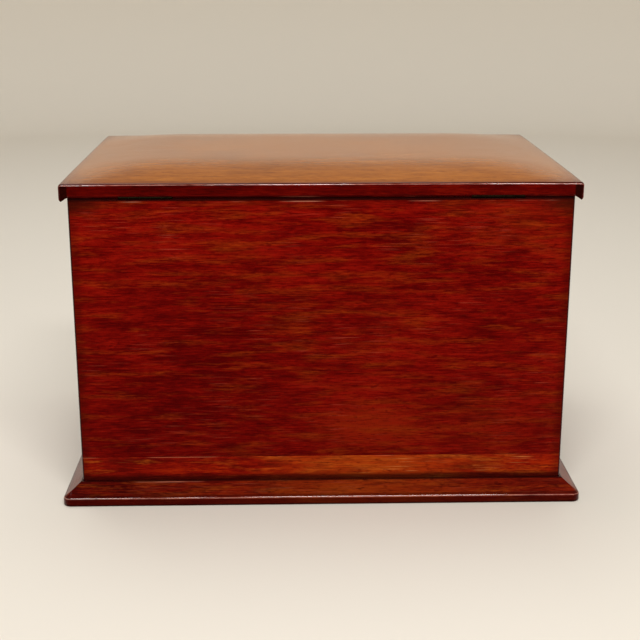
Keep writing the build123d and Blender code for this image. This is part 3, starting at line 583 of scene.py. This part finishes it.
def fit_screws(name, places, facing, sizes, body, node, metal, seed):
    """Wood screws at these places, as one piece of a body in the place of the frame's plain ones."""
    mesh = bpy.data.meshes.new(name)
    mesh.from_pydata(places, [], [])
    piece = bpy.data.objects.new(name, mesh)
    bpy.context.scene.collection.objects.link(piece)
    modifier = piece.modifiers.new("screws", "NODES")
    modifier.node_group = screw_nodes
    head_radius, shank_radius, length = sizes
    values = {
        "Facing": facing, "Head radius": head_radius, "Shank radius": shank_radius, "Length": length,
        "Slot": SLOT_WIDTH, "Seed": seed, "Metal": metal}
    for item in screw_nodes.interface.items_tree:
        if item.name in values:
            modifier[item.identifier] = values[item.name]
    made = piece.evaluated_get(bpy.context.evaluated_depsgraph_get())
    piece.data = bpy.data.meshes.new_from_object(made)
    piece.modifiers.clear()
    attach(piece, body)
    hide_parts(node)


DOWN = (0.0, 0.0, -1.0)
BOTTOM_SCREW = (2.4 * MM, 1.2 * MM, 19 * MM)      # radius of the head, radius of the shank, length
BOTTOM_SCREW_X = (-150 * MM, -50 * MM, 50 * MM, 150 * MM)
BOTTOM_SCREW_Y = (-60 * MM, 60 * MM)
REBATE = 5 * MM                       # how far the board is let into the walls

# Drawn iron, rusted brown in spots: grey and half dull.
iron = aged_metal("aged iron screws", "#6c6864", "#3a2416", roughness=0.38, stained=0.6, line=0.5)
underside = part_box("bottom_board")[0].z
row_x = HALF_WIDTH - WALL + REBATE / 2
row_y = HALF_DEPTH - WALL + REBATE / 2
bottom_places = [(x, y, underside) for x in BOTTOM_SCREW_X for y in (-row_y, row_y)]
bottom_places += [(x, y, underside) for x in (-row_x, row_x) for y in BOTTOM_SCREW_Y]
fit_screws("bottom_wood_screws", bottom_places, DOWN, BOTTOM_SCREW, "carcase", "bottom_screws",
           iron, seed=1)


# Lid ------------------------------------------------------------------------------------------------------
# A mahogany panel worked to a low cushion, with mouldings glued to its ends and front. Light has faded the
# top to a golden brown under clear old polish, and the edges are still dark red.

LID_EDGE_TOP = 253.0 * MM
LID_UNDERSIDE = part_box("lid_panel")[0].z
LID = ("#82460e", "#995614", "#a8621a", "#b26c1e")
LID_STREAK = "#b87838"
LID_EDGE = ("#2c0101", "#400202", "#4c0302", "#600a03")
CLEAR_POLISH = "#c89068"
END_GRAIN = "#0a0302"


def lid_wear(board):
    """A dark red edge with clear polish, a painted dark line and a rubbed line that is partly a painted
    highlight on its arris, dark end grain on the mouldings, a plain underside.
    """
    tree = board.tree
    board.stained_edge = band(tree, board.z, 0, LID_EDGE_TOP - 0.1 * MM, 0.7 * MM)
    lay(board, tone_ramp(tree, board.figure, LID_EDGE), board.stained_edge)
    lay(board, "#6a2c10", band(tree, board.z, LID_EDGE_TOP, LID_EDGE_TOP + 0.4 * MM, 1.4 * MM), 0.45)

    # Round the arris, by how far the surface faces up: a dark line of painted reflection, a rubbed line that
    # is partly a painted highlight, and the pooled polish.
    lay(board, "#2c0301", band(tree, board.upward, 0.7, 0.94, 0.03), 0.9)
    rubbed_highlight = band(tree, board.upward, 0.4, 0.54, 0.08)
    lay(board, "#dcb0a0", overlap(tree, rubbed_highlight, board.marks["Streak"]), 0.5)
    sound = grain(tree, board.place, 90, 90, low=0.36, high=0.5, shift=63)
    board.thick_polish = overlap(tree, band(tree, board.upward, 0.32, 0.54, 0.06), sound)

    # The lower edge at the back is rubbed pale in stretches, away from the corners, partly as a painted
    # highlight.
    at_back = band(tree, board.y, -BEYOND, -HALF_DEPTH + BEVEL_WIDTH, 0.2 * MM)
    foot = band(tree, board.z, LID_UNDERSIDE, LID_UNDERSIDE + 0.7 * MM, 0.3 * MM)
    away = combine(tree, "SUBTRACT", 1.0, near_corners(board))
    lay(board, "#8c4a3c", overlap(tree, at_back, foot, away, rubbed_and_highlit_stretches(board)), 0.6)

    end = overlap(tree, band(tree, board.y, -BEYOND, -HALF_DEPTH + 0.1 * MM, 0.2 * MM),
                  band(tree, board.across_x, HALF_WIDTH + 0.4 * MM, BEYOND, 1.5 * MM))
    lay(board, END_GRAIN, overlap(tree, end, band(tree, board.upward, -1, 0.2, 0.1)), 0.97)
    underneath = band(tree, board.upward, -1, -0.9, 0.05)
    lay(board, tone_ramp(tree, board.figure, INNER), underneath)
    roughen(board, underneath, INNER_DULLNESS)


lid_finish = polished_mahogany(
    "French polished mahogany, lid", ALONG_X, (0, 7, 0), LID, LID_STREAK, lid_wear,
    roughness=0.15, polish=CLEAR_POLISH)
for name in ("lid_panel", "lid_moulding_front", "lid_moulding_left", "lid_moulding_right"):
    finish_node(name, lid_finish)


# Hinges ---------------------------------------------------------------------------------------------------
# Two small brass butts let into the bevelled back edges, with their knuckles inside the groove. The brass
# has gone dark brown, and each leaf has three countersunk screws.

# Painted shade, with grime, for the hinges in the groove.
KNUCKLE_SHADE_AND_GRIME = "#0c0704"
HINGE_X = 132 * MM
HINGE_LENGTH = 40 * MM
HINGE_SCREW = (1.8 * MM, 0.9 * MM, 8 * MM)
HINGE_SCREWS = 3                      # in each leaf, spread evenly
HINGE_SCREW_Y = -126.25 * MM          # the middle of the leaves' flat part
LEAF_OPEN_FACE = 0.3 * MM             # the leaves' faces lie this far from the middle of the joint
UP = (0.0, 0.0, 1.0)


def knuckle_shade_and_grime(metal):
    """Painted shade, with old wax and dirt, on the knuckles and on the edges of the leaves, which show in the
    groove.
    """
    behind = add_node(metal.tree, "ShaderNodeSeparateXYZ", {0: metal.place["Object"]}).outputs["Y"]
    backward = add_node(metal.tree, "ShaderNodeSeparateXYZ", {0: metal.place["Normal"]}).outputs["Y"]
    in_groove = band(metal.tree, behind, -BEYOND, -HALF_DEPTH + BEVEL_WIDTH, 0.5 * MM)
    # Painted shade in the groove and on the faces that turn to the back.
    lay(metal, KNUCKLE_SHADE_AND_GRIME, in_groove, 0.9)
    lay(metal, KNUCKLE_SHADE_AND_GRIME, band(metal.tree, backward, -1, -0.4, 0.3), 0.9)


# Cast and filed brass, tarnished to a warm brown that still glints in patches.
hinge_brass = aged_metal(
    "tarnished brass", "#94743a", "#4a3618", roughness=0.4, stained=0.45, line=0.4, wear=knuckle_shade_and_grime)
for hand in ("left", "right"):
    for part in ("body_leaf", "lid_leaf", "pin"):
        finish_node(f"hinge_{hand}_{part}", hinge_brass)

joint_z = (WALL_TOP + LID_UNDERSIDE) / 2
hinge_places = [
    (side * HINGE_X + step * HINGE_LENGTH / HINGE_SCREWS, HINGE_SCREW_Y)
    for side in (-1, 1) for step in (-1, 0, 1)]
fit_screws("hinge_body_wood_screws", [(x, y, joint_z - LEAF_OPEN_FACE) for x, y in hinge_places], UP,
           HINGE_SCREW, "carcase", "hinge_body_screws", iron, seed=2)
fit_screws("hinge_lid_wood_screws", [(x, y, joint_z + LEAF_OPEN_FACE) for x, y in hinge_places], DOWN,
           HINGE_SCREW, "lid", "hinge_lid_screws", iron, seed=3)


# Lock -----------------------------------------------------------------------------------------------------
# A small brass box lock cut into the front wall: plate and escutcheon of filed brass, a steel case, bolt
# and spring, and a brass link plate under the lid whose two loops the bolt catches.

LOCK_SCREW = (1.9 * MM, 0.9 * MM, 6 * MM)
LOCK_SCREW_INSET = 4 * MM             # from the ends of the lock plate and of the link plate
LOCK_SCREW_DROPS = (9 * MM, 25.5 * MM)            # below the top of the wall
BACKWARD = (0.0, -1.0, 0.0)

# Filed brass keeps its yellow; oiled steel is a dull grey with brown in its scratches.
lock_brass = aged_metal("filed brass", "#c09a52", "#6a4c22", roughness=0.3, stained=0.35, line=0.4)
for name in ("lock_plate", "lock_link_plate", "lock_escutcheon"):
    finish_node(name, lock_brass)
lock_steel = aged_metal("oiled steel", "#8c8a88", "#4c4038", roughness=0.34, stained=0.35, line=0.4)
for name in ("lock_case", "lock_bolt", "lock_spring"):
    finish_node(name, lock_steel)

screw_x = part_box("lock_plate")[1].x - LOCK_SCREW_INSET
lock_face = HALF_DEPTH - WALL
lock_places = [(x, lock_face, WALL_TOP - drop) for x in (-screw_x, screw_x) for drop in LOCK_SCREW_DROPS]
fit_screws("lock_wood_screws", lock_places, BACKWARD, LOCK_SCREW, "carcase", "lock_screws",
           iron, seed=4)
link_low, link_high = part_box("lock_link_plate")
link_x = link_high.x - LOCK_SCREW_INSET
link_y = (link_low.y + link_high.y) / 2
fit_screws("link_plate_wood_screws", [(x, link_y, LID_UNDERSIDE) for x in (-link_x, link_x)], DOWN,
           HINGE_SCREW, "lid", "link_plate_screws", iron, seed=5)


# Paper rack -----------------------------------------------------------------------------------------------
# Two sloping cheeks with grooves, and four partitions of thin mahogany that slide into them. They only have
# a thin coat of shellac, so the wood is paler and half matt.

RACK = ("#5a2814", "#7a3e1c", "#905028", "#a06034")
RACK_STREAK = "#b88050"
for index, name in enumerate(sorted(name for name in nodes if name.startswith("rack_"))):
    finish_node(name, polished_mahogany(
        f"shellacked mahogany, {name}", ALONG_Y if "cheek" in name else ALONG_X, (index, 9, 0), RACK,
        RACK_STREAK, roughness=0.42, pale_amount=0.35))


# Room -----------------------------------------------------------------------------------------------------
# A pale studio floor that curves up into a low backdrop all round, so that the polish has something to
# mirror. Matt paper, lit by a long lamp behind the camera and a square one overhead.

BACKDROP_RADIUS = 2.4
BACKDROP_HEIGHT = 1.1
SWEEP = 0.3                           # radius of the curve between floor and backdrop
SWEEP_STEPS = 12
TURNS = 96


def studio_sheet():
    """The floor and the backdrop as one turned sheet."""
    profile = [(BACKDROP_RADIUS / 4, 0.0), (BACKDROP_RADIUS - SWEEP, 0.0)]
    for step in range(1, SWEEP_STEPS + 1):
        angle = pi / 2 * step / SWEEP_STEPS
        profile.append((BACKDROP_RADIUS - SWEEP + SWEEP * sin(angle), SWEEP - SWEEP * cos(angle)))
    profile.append((BACKDROP_RADIUS, BACKDROP_HEIGHT))
    directions = [(cos(2 * pi * t / TURNS), sin(2 * pi * t / TURNS)) for t in range(TURNS)]
    points = [(0, 0, 0)] + [(r * x, r * y, z) for r, z in profile for x, y in directions]
    faces = [(0, 1 + t, 1 + (t + 1) % TURNS) for t in range(TURNS)]
    for ring in range(len(profile) - 1):
        inner, outer = 1 + ring * TURNS, 1 + (ring + 1) * TURNS
        for t in range(TURNS):
            following = (t + 1) % TURNS
            faces.append((inner + t, outer + t, outer + following, inner + following))
    mesh = bpy.data.meshes.new("studio")
    mesh.from_pydata(points, [], faces)
    mesh.shade_smooth()
    return bpy.data.objects.new("studio", mesh)


sheet = studio_sheet()
bpy.context.scene.collection.objects.link(sheet)
paper = bpy.data.materials.new("studio paper")
paper.use_nodes = True
paper_shader = paper.node_tree.nodes["Principled BSDF"]
paper_shader.inputs["Base Color"].default_value = linear("#e2dbcf")
paper_shader.inputs["Roughness"].default_value = 0.8
sheet.data.materials.append(paper)

world = bpy.data.worlds.new("studio")
bpy.context.scene.world = world
world.use_nodes = True
world.node_tree.nodes["Background"].inputs["Color"].default_value = linear("#c8c4bc")
world.node_tree.nodes["Background"].inputs["Strength"].default_value = 0.5

BOX_MIDDLE = Vector((0, 0, 0.12))
LAMPS = (                             # name, place, width, height, watts
    ("key", (0.1, -1.5, 1.9), 1.5, 0.4, 40),
    ("top", (-0.2, 0.7, 2.1), 1.4, 1.4, 17),
)
for name, place, width, height, power in LAMPS:
    light = bpy.data.lights.new(name, "AREA")
    light.shape = "RECTANGLE"
    light.size = width
    light.size_y = height
    light.energy = power
    lamp = bpy.data.objects.new(name, light)
    lamp.location = place
    lamp.rotation_mode = "QUATERNION"
    lamp.rotation_quaternion = (Vector(place) - BOX_MIDDLE).to_track_quat("Z", "Y")
    bpy.context.scene.collection.objects.link(lamp)

# The camera stands where the photograph was taken, square on to the back and a little above the lid.
CAMERA_PLACE = (-0.0248, -1.0645, 0.41306)
CAMERA_DIP = 16.576                   # degrees below level
CAMERA_TURN = 1.415                   # degrees to the right
IMAGE_WIDTH = 640                     # pixels
LENS_DROP = 15                        # pixels from the picture's middle down to where the lens points

camera = bpy.data.cameras.new("camera")
camera.lens = 71.06
camera.sensor_width = 36
camera.shift_y = LENS_DROP / IMAGE_WIDTH
viewer = bpy.data.objects.new("camera", camera)
viewer.location = CAMERA_PLACE
viewer.rotation_euler = (radians(90 - CAMERA_DIP), 0, radians(-CAMERA_TURN))
bpy.context.scene.collection.objects.link(viewer)
bpy.context.scene.camera = viewer

bpy.context.scene.view_settings.view_transform = "Standard"
